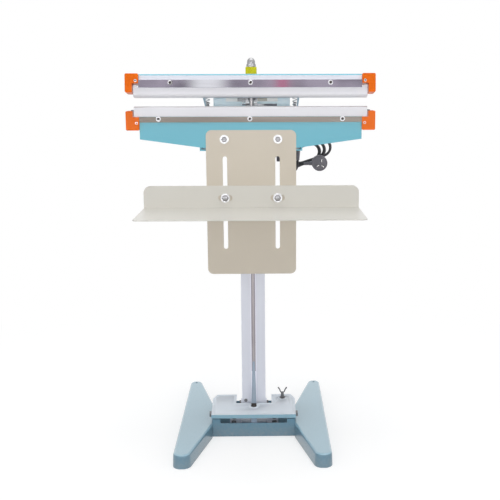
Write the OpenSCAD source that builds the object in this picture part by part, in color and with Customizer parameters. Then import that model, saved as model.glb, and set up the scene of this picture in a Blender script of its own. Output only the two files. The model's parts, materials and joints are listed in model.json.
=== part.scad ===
// Pedal heat sealer on a column stand: jaws, arms, pull rod, pedal, shelf and cord.
// Millimetres, +Z up, +Y to the back; the column's front face is the plane Y = 0.
// Each module makes one sub-part, and node picks the one to build.

/* [Stand] */
// Height of the head frame's underside above the floor
head_z = 694; // [680:2:710]
// Width of the column
col_w = 58; // [54:1:62]
// Depth of the column
col_d = 60; // [56:1:61]
// Width of the slot in the column's front
col_slot = 13.5; // [13.5:0.5:15]
// Width of the base box between the feet
box_w = 200; // [190:2:210]
// Depth of the base box
box_d = 126; // [126:1:130]
// Height of the base box
box_h = 44.5; // [42:0.5:45]
// Height of the feet
foot_h = 32.5; // [28:0.5:36]
// Reach of the feet to the front
foot_front = 224; // [210:2:240]
// Reach of the feet to the back
foot_back = 240; // [220:2:260]

/* [Jaws] */
// Width over the jaws' end caps
jaw_w = 560; // [520:10:600]
// Opening between the jaws with the pedal up
jaw_gap = 21.5; // [19:0.5:22]
// Distance between the outer faces of the arms
arm_span = 223; // [221:1:223]
// Thickness of the arms
arm_t = 3; // [2.5:0.5:3]

/* [Backing plate and shelf] */
// Width of the backing plate
plate_w = 204; // [190:2:216]
// Length of the backing plate
plate_h = 331; // [320:1:345]
// Distance between the two upright slots
slot_pitch = 119.4; // [112:0.2:126]
// Width of the upright slots
slot_w = 10; // [10:0.2:11]
// Width of the shelf
shelf_w = 491; // [460:1:520]
// Depth of the shelf
shelf_d = 190; // [160:2:210]
// Height of the shelf's bolts above the floor
shelf_z = 587.5; // [560:0.5:610]

/* [Pedal] */
// Slope of the pedal when it is up, in degrees
pedal_slope = 8; // [7.5:0.5:8.5]
// Swing of the pedal, in degrees
pedal_swing = 15; // [14.5:0.5:15]
// Diameter of the pull rod
rod_d = 10; // [9.5:0.1:10]

/* [Hidden] */

// Sheet thicknesses and the running clearance of a pin in its hole.
sheet = 3;
thin = 2;
run = 0.05;
// A cut goes this far past the faces it opens.
past = 1;

// Stand.
box_front = -61;
foot_x = box_w / 2 + 61.5;
bracket_t = 3;
column_top = head_z - 4;
rod_y = 12;
bush_r = 8;

// Head, with heights counted from the head frame's underside.
hinge_y = 68;
hinge_h = 81;
hinge_r = 4;
seal_h = 99.6;
bar_top = seal_h - 5.6;
bar_low = 47;
wall = 2.5;
pad_back = -56;
cloth_t = 0.6;
wire_t = 0.3;
cap_w = 30;
cap_step = 14;
beam_w = jaw_w - 2 * cap_w;
cloth_w = jaw_w - 2 * cap_w + 24;
front_y = -83;
jaw_back = -49;
arm_x = arm_span / 2;
wall_x = 113;
frame_x = wall_x + sheet;
open_deg = 2 * asin(jaw_gap / (2 * (hinge_y - front_y + 6)));
tab_y = -10;
tab_x = 101;

// Backing plate and shelf.
plate_y = -85;
plate_top = head_z + 47;
plate_bolt_z = head_z + 26.4;
slot_top = head_z - 12;
slot_len = 213;

// Pedal, with its own axes at the pivot, turned by the slope.
pivot_y = -40;
pivot_z = 50;
pivot_r = 4;
pedal_top = 9.9;
pedal_front = -22.9;
pedal_back = 80.8;
pin_y = -8;
pin_z = 57.5;
pin_r = 2;
stop_x = box_w / 2 - 28.7;
stop_y = 62.8;
stop_tip = -37.5;
rod_drop = 8.5;

// Cord, as rough points by hand.
cord_d = 6;
cord_sides = 8;

$fn = 48;

// ---- Shared shapes ----

function unit(v) = v / norm(v);

// One ring of points round p, square to the direction d, counted from the side s.
function ring_at(p, d, s, r, n) =
    let (u = unit(cross(d, s)), w = cross(u, d))
    [for (i = [0 : n - 1]) p + r * (cos(360 * i / n) * u + sin(360 * i / n) * w)];

// Round tube of radius r along the points p.
module tube(p, r, n, s) {
    m = len(p);
    rings = [for (i = [0 : m - 1])
        each ring_at(p[i], unit(p[min(i + 1, m - 1)] - p[max(i - 1, 0)]), s, r, n)];
    sides = [for (i = [0 : m - 2], j = [0 : n - 1])
        let (a = i * n + j, b = i * n + (j + 1) % n)
        each [[a, b, b + n], [a, b + n, a + n]]];
    ends = [[for (j = [n - 1 : -1 : 0]) j], [for (j = [0 : n - 1]) (m - 1) * n + j]];
    polyhedron(rings, concat(sides, ends), convexity = 8);
}

// Coil spring standing on z = 0.
module coil(mean_r, wire_r, height, turns) {
    steps = 14;
    last = turns * steps;
    tube([for (i = [0 : last]) let (a = 360 * i / steps)
        [mean_r * cos(a), mean_r * sin(a),
         wire_r + (height - 2 * wire_r) * i / last]], wire_r, 6, [0, 0, 1]);
}

// Hexagon bar by its width across flats.
module hex_bar(flats, h) {
    linear_extrude(h) circle(r = flats / sqrt(3), $fn = 6);
}

// Bolt along +Z: head below z = 0, with a washer on request.
module bolt(r, length, flats, head, washer = 0) {
    translate([0, 0, -head]) hex_bar(flats, head);
    translate([0, 0, -head / 2]) cylinder(r = r, h = length + head / 2);
    if (washer > 0)
        cylinder(r = washer, h = 1.5);
}

// Points to the front, right or left, for things modelled along +Z.
module to_front() { rotate([90, 0, 0]) children(); }
module to_back() { rotate([-90, 0, 0]) children(); }
module to_right() { rotate([0, 90, 0]) children(); }
module to_left() { rotate([0, -90, 0]) children(); }

// Both sides of the machine.
module both() {
    children();
    mirror([1, 0, 0]) children();
}

// Profile in Y and Z, extruded along X from x0 by w.
module along_x(x0, w) {
    translate([x0, 0, 0]) rotate([90, 0, 90]) linear_extrude(w) children();
}

// Outline in X and Z, extruded to the back from y0 by t.
module along_y(y0, t) {
    translate([0, y0 + t, 0]) rotate([90, 0, 0]) linear_extrude(t) children();
}

// Rectangle with round corners, from [x, y] by [w, h].
module round_rect(x, y, w, h, r) {
    translate([x + r, y]) square([w - 2 * r, h]);
    translate([x, y + r]) square([w, h - 2 * r]);
    for (i = [0, 1], j = [0, 1])
        translate([x + r + i * (w - 2 * r), y + r + j * (h - 2 * r)]) circle(r = r);
}

// Things on the head are modelled from the frame's underside.
module on_head() { translate([0, 0, head_z]) children(); }

// The arms' group is modelled closed and opened here.
module opened() {
    on_head()
    translate([0, hinge_y, hinge_h]) rotate([-open_deg, 0, 0])
    translate([0, -hinge_y, -hinge_h]) children();
}

// The pedal's group has its axes at the pivot.
module on_pedal() {
    translate([0, pivot_y, pivot_z]) rotate([pedal_slope, 0, 0]) children();
}

// ---- Base ----

// Open steel box between the feet, with ears for the pedal's pivot.
module base_box() {
    ear = 9;
    opening_w = 161;
    opening_z = 34;
    color([0.70, 0.83, 0.93])
    difference() {
        union() {
            translate([-box_w / 2, box_front, 0]) cube([box_w, box_d, box_h]);
            both() along_x(box_w / 2 - sheet, sheet) {
                translate([pivot_y - ear, box_h - past]) square([2 * ear, pivot_z - box_h + past]);
                intersection() {
                    translate([pivot_y, pivot_z]) circle(r = ear);
                    translate([pivot_y - ear, pivot_z - past]) square([2 * ear, 7.5]);
                }
            }
        }
        translate([-box_w / 2 + sheet, box_front + sheet, sheet])
            cube([box_w - 2 * sheet, box_d - 2 * sheet, 80]);
        translate([-opening_w / 2, box_front - past, opening_z])
            cube([opening_w, sheet + 2 * past, box_h]);
        both() translate([box_w / 2 - sheet - past, pivot_y, pivot_z])
            to_right() cylinder(r = pivot_r, h = sheet + 2 * past);
        both() foot_holes();
    }
}

// Places of the bolts that hold a foot to the box.
module foot_holes() {
    for (y = [-45, 45])
        translate([box_w / 2 - sheet - past, y, 17]) to_right() cylinder(r = 3, h = 12);
}

// Round puck of a foot: rounded top edge, slightly flared side.
module foot_puck(x, y, r, h) {
    edge = 6;
    translate([x, y, 0]) rotate_extrude($fn = 28)
        polygon(concat([[0, 0], [r + edge + 1, 0]],
            [for (a = [0 : 18 : 90]) [r + edge * cos(a), h - edge + edge * sin(a)]],
            [[0, h]]));
}

// Right foot: hollow pressing with a broad middle and two narrow ends.
module foot_form(shrink) {
    h = foot_h - shrink;
    intersection() {
        hull() {
            foot_puck(foot_x - 3, -foot_front, 14 - shrink, h);
            foot_puck(foot_x, foot_back, 10 - shrink, h);
            foot_puck(box_w / 2 + 12, box_front + 5, 8 - shrink, h);
            foot_puck(box_w / 2 + 14, box_front + box_d - 11, 8 - shrink, h);
        }
        translate([box_w / 2 + shrink, -foot_front - 20, 0])
            cube([foot_x, foot_front + foot_back + 40, 2 * foot_h]);
    }
}

module foot() {
    difference() {
        foot_form(0);
        translate([0, 0, -0.01]) foot_form(sheet);
        translate([foot_x, foot_back, foot_h - 2 * sheet]) cylinder(r = 3, h = 3 * sheet, $fn = 24);
        foot_holes();
    }
}

module right_foot() { color([0.70, 0.83, 0.93]) foot(); }
module left_foot() { color([0.70, 0.83, 0.93]) mirror([1, 0, 0]) foot(); }

// Bolts from inside the box into the feet.
module foot_bolts() {
    color([0.75, 0.75, 0.77])
    both() for (y = [-45, 45]) translate([box_w / 2 - sheet, y, 17]) {
        to_right() bolt(3, 2 * sheet + 5, 10, 4);
        translate([2 * sheet, 0, 0]) to_right() hex_bar(10, 5);
    }
}

// ---- Column ----

// Lipped channel, open at the front by a slot over its whole height.
module column() {
    color([0.84, 0.86, 0.88])
    difference() {
        translate([-col_w / 2, 0, sheet]) cube([col_w, col_d, column_top - sheet]);
        translate([-col_w / 2 + sheet, sheet, 0])
            cube([col_w - 2 * sheet, col_d - 2 * sheet, column_top + past]);
        translate([-col_slot / 2, -past, 0]) cube([col_slot, sheet + 2 * past, column_top + past]);
        translate([-20, -past, 70]) to_back() cylinder(r = 2, h = sheet + 2 * past, $fn = 24);
        both() bracket_bolt_holes();
    }
}

// Bolts through the brackets' upright legs.
module bracket_bolt_holes() {
    for (p = [[12, 60], [46, 28]])
        translate([col_w / 2 - sheet - past, p[0], p[1]]) to_right()
            cylinder(r = 3, h = sheet + bracket_t + 2 * past, $fn = 24);
}

// Angle brackets with a gusset, one on each side of the column's foot.
module column_brackets() {
    x = col_w / 2;
    color([0.80, 0.82, 0.84])
    both() difference() {
        union() {
            along_x(x, bracket_t)
                polygon([[3, sheet], [56, sheet], [56, 38], [22, 68], [3, 68]]);
            translate([x, 3, sheet]) cube([32, 53, bracket_t]);
            along_y(52, bracket_t)
                polygon([[x, sheet], [x + 28, sheet], [x, 34]]);
        }
        bracket_bolt_holes();
        for (y = [14, 40])
            translate([x + 22, y, 0]) cylinder(r = 3, h = 20, $fn = 24);
    }
}

// Bolts of the brackets, to the column and to the box's floor.
module column_bolts() {
    x = col_w / 2 + bracket_t;
    color([0.75, 0.75, 0.77])
    both() {
        for (p = [[12, 60], [46, 28]])
            translate([x, p[0], p[1]]) to_left() bolt(3, sheet + bracket_t, 10, 4);
        for (y = [14, 40])
            translate([col_w / 2 + 22, y, sheet + bracket_t])
                mirror([0, 0, 1]) bolt(3, bracket_t, 10, 4);
    }
}

// Small screw low on the column's front.
module column_screw() {
    color([0.75, 0.75, 0.77])
    translate([-20, 0, 70]) {
        to_back() cylinder(r = 2, h = sheet, $fn = 24);
        translate([0, -2, 0]) to_back() cylinder(r = 4, h = 2, $fn = 24);
    }
}

// Bolts between the column's top plate and the head frame.
module top_bolt_places() {
    for (x = [-45, 45], y = [-14, 74]) translate([x, y, 0]) children();
}

// Plate on the column's top.
module column_top_plate() {
    color([0.84, 0.86, 0.88])
    difference() {
        translate([0, 0, column_top]) linear_extrude(head_z - column_top)
            round_rect(-58, -26, 116, 112, 8);
        translate([0, rod_y, 0]) cylinder(r = bush_r, h = head_z + past);
        top_bolt_places() cylinder(r = 4, h = head_z + past, $fn = 24);
    }
}

module top_plate_bolts() {
    color([0.75, 0.75, 0.77])
    top_bolt_places() {
        translate([0, 0, column_top]) bolt(4, head_z - column_top + sheet + 6, 13, 5);
        translate([0, 0, head_z + sheet]) hex_bar(13, 6);
    }
}

// Flanged bush that guides the pull rod.
module rod_bush() {
    color([0.78, 0.66, 0.38])
    difference() {
        union() {
            translate([0, rod_y, column_top]) cylinder(r = bush_r, h = head_z - column_top + sheet);
            translate([0, rod_y, head_z + sheet]) cylinder(r = bush_r + 3, h = 4);
        }
        translate([0, rod_y, 0]) cylinder(r = rod_d / 2 + run, h = head_z + 20);
    }
}

// ---- Head ----

// Folded tray that carries the jaws, the arms and the housing.
module head_frame() {
    color([0.55, 0.75, 0.80])
    on_head() difference() {
        union() {
            translate([-frame_x, front_y + 2.5, 0]) cube([2 * frame_x, 204 - front_y - 2.5, sheet]);
            both() along_x(wall_x, sheet)
                polygon([[front_y + 2.5, 0], [204, 0], [204, 16], [110, 16], [80, 70],
                    [80, 90], [60, 92], [jaw_back, 92], [jaw_back, 47], [front_y + 2.5, 47]]);
            // Tabs that the return springs stand on.
            both() translate([tab_x - 8, tab_y - 9, 87]) cube([wall_x - tab_x + 8, 18, sheet]);
            // Rear wall, low enough for the housing's cables.
            translate([-frame_x, 204 - sheet, 0]) cube([2 * frame_x, sheet, 16]);
        }
        translate([0, rod_y, -past]) cylinder(r = bush_r, h = sheet + 2 * past);
        top_bolt_places() translate([0, 0, -past]) cylinder(r = 4, h = 9, $fn = 24);
        both() wing_nut_places() translate([0, 0, -past]) cylinder(r = 2.5, h = 9, $fn = 24);
        both() translate([wall_x - past, hinge_y, hinge_h])
            to_right() cylinder(r = hinge_r, h = sheet + 2 * past);
        translate([108, tab_y, -past]) cylinder(r = 3.8, h = 9, $fn = 24);
    }
}

// Pivot bolts of the arms, with their nuts inside.
module hinge_bolts() {
    color([0.75, 0.75, 0.77])
    on_head() both() translate([frame_x, hinge_y, hinge_h]) {
        to_left() bolt(hinge_r, frame_x - arm_x + arm_t + 5, 13, 5);
        translate([arm_x - arm_t - frame_x - 0.3, 0, 0]) to_left() hex_bar(13, 5);
    }
}

// Lower beam: hollow bar with an apron that tapers to the head frame.
module lower_beam() {
    color([0.46, 0.70, 0.76])
    on_head() {
        along_x(-beam_w / 2, beam_w) difference() {
            translate([front_y, bar_low]) square([jaw_back - front_y, bar_top - bar_low]);
            translate([front_y + wall, bar_low - past])
                square([jaw_back - front_y - 2 * wall, bar_top - wall - bar_low + past]);
        }
        // The bar's top runs on under the cloth to the end caps.
        along_x(-cloth_w / 2, cloth_w) translate([front_y, bar_top - wall])
            square([jaw_back - front_y, wall]);
        difference() {
            along_y(front_y, wall)
                polygon([[-beam_w / 2, bar_low], [-beam_w / 2, 26.5], [-108, 7], [108, 7],
                    [beam_w / 2, 26.5], [beam_w / 2, bar_low]]);
            plate_bolt_holes();
        }
    }
}

module plate_bolt_holes() {
    both() translate([60.5, plate_y - past, 26.4]) to_back() cylinder(r = 4, h = 8, $fn = 24);
}

// End cap's outline, stepped round the bar and the cloth: h0 below, h1 above.
module cap_outline(h0, h1, step_h, up) {
    x0 = jaw_w / 2 - cap_w;
    r = 3;
    difference() {
        round_rect(x0, h0, cap_w, h1 - h0, r);
        if (up)
            translate([x0 - past, step_h]) square([cap_step + past, 60]);
        else
            translate([x0 - past, step_h - 60]) square([cap_step + past, 60]);
    }
}

// Orange caps over the lower beam's ends.
module lower_end_caps() {
    color([0.93, 0.52, 0.18])
    on_head() both()
        along_y(-88, 41) cap_outline(46.6, 89.7, 76, true);
}

// Strip that clamps the lower cloth.
module lower_clamp_strip() {
    color([0.62, 0.60, 0.57])
    on_head() difference() {
        translate([-beam_w / 2, front_y - 3, 64.4]) cube([beam_w, 3, 12.1]);
        strip_screw_places([-207, -2, 206], front_y - 3, 72) cylinder(r = 2, h = 9, $fn = 24);
    }
}

module strip_screw_places(xs, y, h) {
    for (x = xs) translate([x, y - past, h]) to_back() children();
}

// Socket screw with a washer, along +Y from its seat.
module strip_screw(length) {
    translate([0, 0, past]) cylinder(r = 2, h = length, $fn = 24);
    translate([0, 0, past - 0.8]) cylinder(r = 5.5, h = 0.8);
    translate([0, 0, past - 2.6]) difference() {
        cylinder(r1 = 3.2, r2 = 4.2, h = 1.8, $fn = 32);
        translate([0, 0, -1]) hex_bar(3, 2.2);
    }
}

module lower_strip_screws() {
    color([0.72, 0.72, 0.72])
    on_head() strip_screw_places([-207, -2, 206], front_y - 3, 72) strip_screw(3);
}

// Heat-proof cloth, wrapped over the element and down the front.
module lower_cloth() {
    color([0.86, 0.84, 0.80])
    on_head() along_x(-cloth_w / 2, cloth_w)
        polygon([[front_y - cloth_t, 77], [front_y, 77], [front_y, seal_h - cloth_t],
            [pad_back, seal_h - cloth_t], [pad_back, bar_top], [pad_back + cloth_t, bar_top],
            [pad_back + cloth_t, seal_h], [front_y, seal_h],
            [front_y - cloth_t, seal_h - cloth_t]]);
}

// Insulating strip on the lower bar, under the element.
module insulating_strip() {
    color([0.45, 0.33, 0.24])
    on_head() translate([-cloth_w / 2, front_y, bar_top])
        cube([cloth_w, pad_back - front_y, seal_h - cloth_t - wire_t - bar_top]);
}

// Flat resistance wire between the insulating strip and the cloth.
module heating_element() {
    color([0.72, 0.70, 0.66])
    on_head() translate([-cloth_w / 2, front_y + 9, seal_h - cloth_t - wire_t])
        cube([cloth_w, 8, wire_t]);
}

// Upright plate behind the shelf, with two slots for the shelf's bolts.
module backing_plate() {
    color([0.81, 0.78, 0.71])
    difference() {
        along_y(plate_y, thin)
            round_rect(-plate_w / 2, plate_top - plate_h, plate_w, plate_h, 13);
        both() along_y(plate_y - past, thin + 2 * past) {
            translate([slot_pitch / 2 - slot_w / 2, slot_top - slot_len + slot_w / 2])
                square([slot_w, slot_len - slot_w]);
            for (z = [slot_top - slot_len + slot_w / 2, slot_top - slot_w / 2])
                translate([slot_pitch / 2, z]) circle(r = slot_w / 2);
        }
        on_head() plate_bolt_holes();
    }
}

// Bolts that hold the backing plate to the apron.
module plate_bolts() {
    color([0.80, 0.78, 0.74])
    both() translate([60.5, plate_y, plate_bolt_z]) {
        translate([0, -1.5, 0]) to_back() difference() {
            bolt(4, 1.5 + 2 + 2.5 + 7, 11, 5);
            translate([0, 0, -6]) cylinder(r = 2.5, h = 2, $fn = 24);
        }
        translate([0, -1.5, 0]) to_back() cylinder(r = 10, h = 1.5);
        translate([0, 4.5, 0]) to_back() hex_bar(13, 6);
    }
}

// Sheet cover at the back of the head, open below, with side flanges.
module rear_housing() {
    x = 92;
    y0 = 66;
    y1 = 200;
    top = 156;
    t = 1.5;
    color([0.66, 0.80, 0.88])
    on_head() difference() {
        union() {
            translate([0, 0, sheet]) along_x(-x, 2 * x)
                translate([y0, 0]) difference() {
                    round_rect(0, -10, y1 - y0, top - sheet + 10, 8);
                    translate([-past, -20]) square([y1, 20]);
                }
            translate([x - 1, 88, sheet]) cube([20, y1 - 88, t]);
            translate([-x - 19, 88, sheet]) cube([20, y1 - 88, t]);
        }
        along_x(-x + t, 2 * (x - t)) translate([y0 + t, 0])
            round_rect(0, -10, y1 - y0 - 2 * t, top + 10 - t, 7);
        both() wing_nut_places() cylinder(r = 2.5, h = 9, $fn = 24);
        top_bolt_places() cylinder(r = 9, h = sheet + 9);
        translate([-45, 140, top - 5]) cylinder(r = 3.1, h = 9);
        translate([45, 140, top - 5]) cylinder(r = 5, h = 9);
        translate([-9.8, 131.7, top - 5]) cube([19.6, 16.6, 9]);
        translate([60, y1 - 5, 40]) to_back() cylinder(r = 6, h = 9);
    }
}

module wing_nut_places() {
    for (y = [152, 188]) translate([104, y, 0]) children();
}

// Studs and wing nuts that hold the housing under the frame.
module housing_wing_nuts() {
    color([0.82, 0.83, 0.84])
    on_head() both() wing_nut_places() {
        translate([0, 0, -12]) cylinder(r = 2.5, h = 12 + sheet + 1.5 + 3, $fn = 24);
        translate([0, 0, sheet + 1.5]) hex_bar(8, 3);
        translate([0, 0, -1.2]) cylinder(r = 7, h = 1.2);
        translate([0, 0, -8]) cylinder(r1 = 4.5, r2 = 5.5, h = 6.8);
        for (s = [-1, 1]) translate([0, -1.25, 0]) along_y(0, 2.5)
            polygon([[s * 3, -2], [s * 4, -8], [s * 10, -14], [s * 13, -11], [s * 12, -6], [s * 6, -2]]);
    }
}

// Transformer on the frame's floor inside the housing.
module transformer() {
    color([0.30, 0.30, 0.32])
    on_head() translate([0, 140, sheet]) {
        difference() {
            translate([-36, -20, 3]) cube([72, 40, 60]);
            for (s = [-1, 1]) translate([s * 18 - 6, -21, 15]) cube([12, 42, 36]);
        }
        translate([-11.9, -28, 15.1]) cube([23.8, 56, 35.8]);
        translate([-46, -20, 0]) cube([92, 40, 3]);
    }
}

// Fuse holder on the housing's back.
module fuse_holder() {
    color([0.10, 0.10, 0.11])
    on_head() translate([60, 200, 40]) {
        to_back() cylinder(r = 8, h = 6);
        translate([0, -12, 0]) to_back() cylinder(r = 6, h = 13);
    }
}

// Pilot lamp on the housing's top.
module pilot_lamp() {
    color([0.80, 0.15, 0.12])
    on_head() translate([45, 140, 0]) {
        translate([0, 0, 140]) cylinder(r = 5, h = 16);
        translate([0, 0, 156]) cylinder(r = 7, h = 2);
        translate([0, 0, 156]) intersection() {
            translate([0, 0, 1]) sphere(r = 5);
            cylinder(r = 6, h = 7);
        }
    }
}

// Timer knob: a fluted turning on its own spindle.
module timer_knob() {
    color([0.12, 0.12, 0.13])
    on_head() translate([-45, 140, 0]) difference() {
        union() {
            translate([0, 0, 146]) cylinder(r = 3.05, h = 12);
            translate([0, 0, 156.3]) cylinder(r = 12, h = 3);
            translate([0, 0, 159]) cylinder(r = 9.5, h = 11);
        }
        for (i = [0 : 11]) rotate([0, 0, 30 * i + 15])
            translate([10.2, 0, 160]) cylinder(r = 1.4, h = 12, $fn = 16);
        translate([-0.5, 2, 169.2]) cube([1, 7, 2]);
    }
}

// Power rocker, on two side pins at its middle.
module power_rocker() {
    color([0.14, 0.14, 0.15])
    on_head() translate([0, 140, 154]) rotate([8, 0, 0]) {
        difference() {
            along_x(-9.4, 18.8)
                polygon([[-7.9, 5], [-6.8, -3], [6.8, -3], [7.9, 5], [0, 3.9]]);
            translate([-3, -6, 4.2]) cube([6, 0.8, 2]);
        }
        along_x(-9.7, 19.4) circle(r = 1.2);
    }
}

// Small lever switch that the right arm's bar passes.
module micro_switch() {
    color([0.10, 0.10, 0.11])
    on_head() difference() {
        union() {
            translate([-12, 30, 112]) cube([24, 10, 16]);
            for (x = [-8, 0, 8]) translate([x - 1.5, 40, 118]) cube([3, 7, 0.8]);
        }
        for (x = [-7, 7]) translate([x, 29, 120]) to_back() cylinder(r = 1.5, h = 12, $fn = 24);
    }
}

// Bracket of the switch, standing on the head frame beside the rod.
module switch_bracket() {
    color([0.78, 0.79, 0.80])
    on_head() difference() {
        union() {
            translate([-14, 28, sheet]) cube([28, 2, 121]);
            translate([-14, 28, sheet]) cube([28, 22, 2]);
            translate([14, 28, 96]) cube([46, 2, 7]);
            translate([30, 16, 99]) cube([30, 14, 4]);
        }
        for (x = [-7, 7]) translate([x, 27, 120]) to_back() cylinder(r = 1.5, h = 4, $fn = 24);
    }
}

// Coil springs that lift the arms.
module return_spring() {
    rise = (hinge_y - tab_y) * sin(open_deg);
    translate([tab_x, tab_y, head_z + 90]) coil(4.6, 0.9, 21 + rise - 0.2, 4);
}

module return_spring_right() { color([0.80, 0.81, 0.82]) return_spring(); }
module return_spring_left() { color([0.80, 0.81, 0.82]) mirror([1, 0, 0]) return_spring(); }

// ---- Arms and upper jaw, drawn closed ----

// Side plate from the pivot to the upper beam, with the spring's tab.
module arm() {
    rise = (hinge_y - tab_y) * sin(open_deg);
    opened() difference() {
        along_x(arm_x - arm_t, arm_t) {
            polygon([[-56, 112], [0, 102], [44, 96], [57, 76], [79, 76], [81, 88],
                [26, 140], [14, 149], [-56, 149]]);
            translate([hinge_y, hinge_h]) circle(r = 13);
        }
        translate([arm_x - arm_t - past, hinge_y, hinge_h])
            to_right() cylinder(r = hinge_r + run, h = arm_t + 2 * past);
        along_x(arm_x - arm_t - past, arm_t + 2 * past)
            translate([-20, 124]) circle(r = 8);
    }
    on_head() translate([tab_x - 8, tab_y - 9, 111 + rise])
        cube([arm_x - arm_t - tab_x + 8, 18, sheet]);
}

module arm_right() { color([0.55, 0.75, 0.80]) arm(); }
module arm_left() { color([0.55, 0.75, 0.80]) mirror([1, 0, 0]) arm(); }

// Bar between the arms that the rod's spring pulls down, slotted for the rod.
module arm_cross_bar() {
    half = rod_d / 2 + 0.6;
    color([0.78, 0.79, 0.80])
    opened() difference() {
        translate([-(arm_x - arm_t), -8, 134]) cube([2 * (arm_x - arm_t), 34, 6]);
        translate([0, 0, 130]) linear_extrude(20) {
            translate([-half, 3]) square([2 * half, 9.6]);
            translate([0, 3]) circle(r = half);
            translate([0, 12.6]) circle(r = half);
        }
    }
}

// Upper beam: hollow bar, longer below the caps' step.
module upper_beam() {
    color([0.46, 0.70, 0.76])
    opened() {
        along_x(-beam_w / 2, beam_w) difference() {
            union() {
                translate([-88, 108]) square([32, 35]);
                translate([-88, 130]) round_rect(0, 0, 32, 21, 5);
            }
            translate([-85.5, 110.5]) square([27, 30.5]);
            translate([-85.5, 130]) round_rect(0, 0, 27, 18.5, 3);
        }
        along_x(-cloth_w / 2, cloth_w)
            translate([-88, 108]) square([32, 2.5]);
    }
}

// Orange caps over the upper beam's ends.
module upper_end_caps() {
    color([0.93, 0.52, 0.18])
    opened() both() along_y(-93, 39) cap_outline(109.4, 151.4, 129.4, false);
}

// Polished strip that clamps the upper cloth.
module upper_clamp_strip() {
    color([0.85, 0.86, 0.88])
    opened() difference() {
        translate([-beam_w / 2, -91.5, 120.2]) cube([beam_w, 3.5, 17]);
        strip_screw_places([-179, 0, 179], -91.5, 131) cylinder(r = 2, h = 9, $fn = 24);
    }
}

module upper_strip_screws() {
    color([0.72, 0.72, 0.72])
    opened() strip_screw_places([-179, 0, 179], -91.5, 131) strip_screw(3.5);
}

// Rubber pad under the upper beam.
module silicone_pad() {
    color([0.62, 0.33, 0.24])
    opened() along_x(-cloth_w / 2, cloth_w)
        polygon([[-87.4, 108], [-87.4, 104], [-84, 100.8], [-60, 100.8], [-58, 104], [-58, 108]]);
}

// Heat-proof cloth round the pad, held by the polished strip.
module upper_cloth() {
    color([0.95, 0.95, 0.94])
    opened() along_x(-cloth_w / 2, cloth_w)
        polygon([[-88.6, 119.8], [-88.6, 103.6], [-84.3, 100.2], [-59.7, 100.2], [-57.4, 103.8],
            [-57.4, 108], [-58, 108], [-58, 104], [-60, 100.8], [-84, 100.8],
            [-87.4, 104], [-88, 108], [-88, 119.8]]);
}

// ---- Pull rod ----

// Round rod from the crank in the column to the nut on top.
module pull_rod() {
    color([0.80, 0.81, 0.82])
    translate([0, rod_y, 142]) cylinder(r = rod_d / 2, h = head_z + 200 - 142);
}

// Flat crank that leaves the column's slot and reaches the pedal's pin.
module rod_crank() {
    w = 12.5;
    color([0.86, 0.84, 0.78])
    difference() {
        along_x(-w / 2, w) {
            polygon([[rod_y - 8, 168], [rod_y + 8, 168], [rod_y + 8, 139], [rod_y - 2, 125],
                [pin_y + 4.5, pin_z], [pin_y - 4.5, pin_z]]);
            translate([pin_y, pin_z]) circle(r = 6);
        }
        translate([0, rod_y, 142]) cylinder(r = rod_d / 2, h = 60);
        translate([-w, pin_y, pin_z]) to_right() cylinder(r = pin_r, h = 2 * w);
    }
}

// Pin through the crank, in short slots of the pedal's lugs.
module crank_pin() {
    color([0.75, 0.75, 0.77])
    translate([-11.5, pin_y, pin_z]) to_right() cylinder(r = pin_r, h = 23);
}

// Seat that rocks on the arms' bar, round underneath.
module spring_rocker() {
    curve = 30;
    color([0.80, 0.81, 0.82])
    on_head() translate([0, rod_y, 148.9]) difference() {
        intersection() {
            translate([-10, 0, curve]) to_right() cylinder(r = curve, h = 20, $fn = 160);
            cylinder(r = 9.5, h = 5);
        }
        translate([0, 0, -past]) cylinder(r = rod_d / 2, h = 9);
    }
}

// Stiff spring between the seat and the knob.
module pressure_spring() {
    color([0.70, 0.71, 0.72])
    on_head() translate([0, rod_y, 153.9]) coil(7.2, 1, 14, 3);
}

// Hexagon knob that sets the sealing pressure.
module pressure_knob() {
    color([0.88, 0.88, 0.20])
    on_head() translate([0, rod_y, 168.2]) difference() {
        intersection() {
            rotate([0, 0, 30]) hex_bar(26, 19.8);
            cylinder(r1 = 13.5, r2 = 33.3, h = 19.8);
            translate([0, 0, 19.8]) mirror([0, 0, 1]) cylinder(r1 = 13.5, r2 = 33.3, h = 19.8);
        }
        translate([0, 0, -past]) cylinder(r = rod_d / 2 + run, h = 22);
    }
}

// Domed nut with a flange on the rod's end.
module cap_nut() {
    color([0.85, 0.86, 0.88])
    on_head() translate([0, rod_y, 188.3]) difference() {
        union() {
            cylinder(r = 11.2, h = 1.6);
            intersection() {
                hex_bar(19, 7);
                cylinder(r1 = 13.5, r2 = 9.8, h = 7);
            }
            cylinder(r = 9.3, h = 11.4);
            translate([0, 0, 11.4]) sphere(r = 9.3);
        }
        translate([0, 0, -past]) cylinder(r = rod_d / 2, h = past + 11.7);
        translate([0, 0, -12]) cylinder(r = 12, h = 12);
    }
}

// ---- Pedal ----

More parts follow.
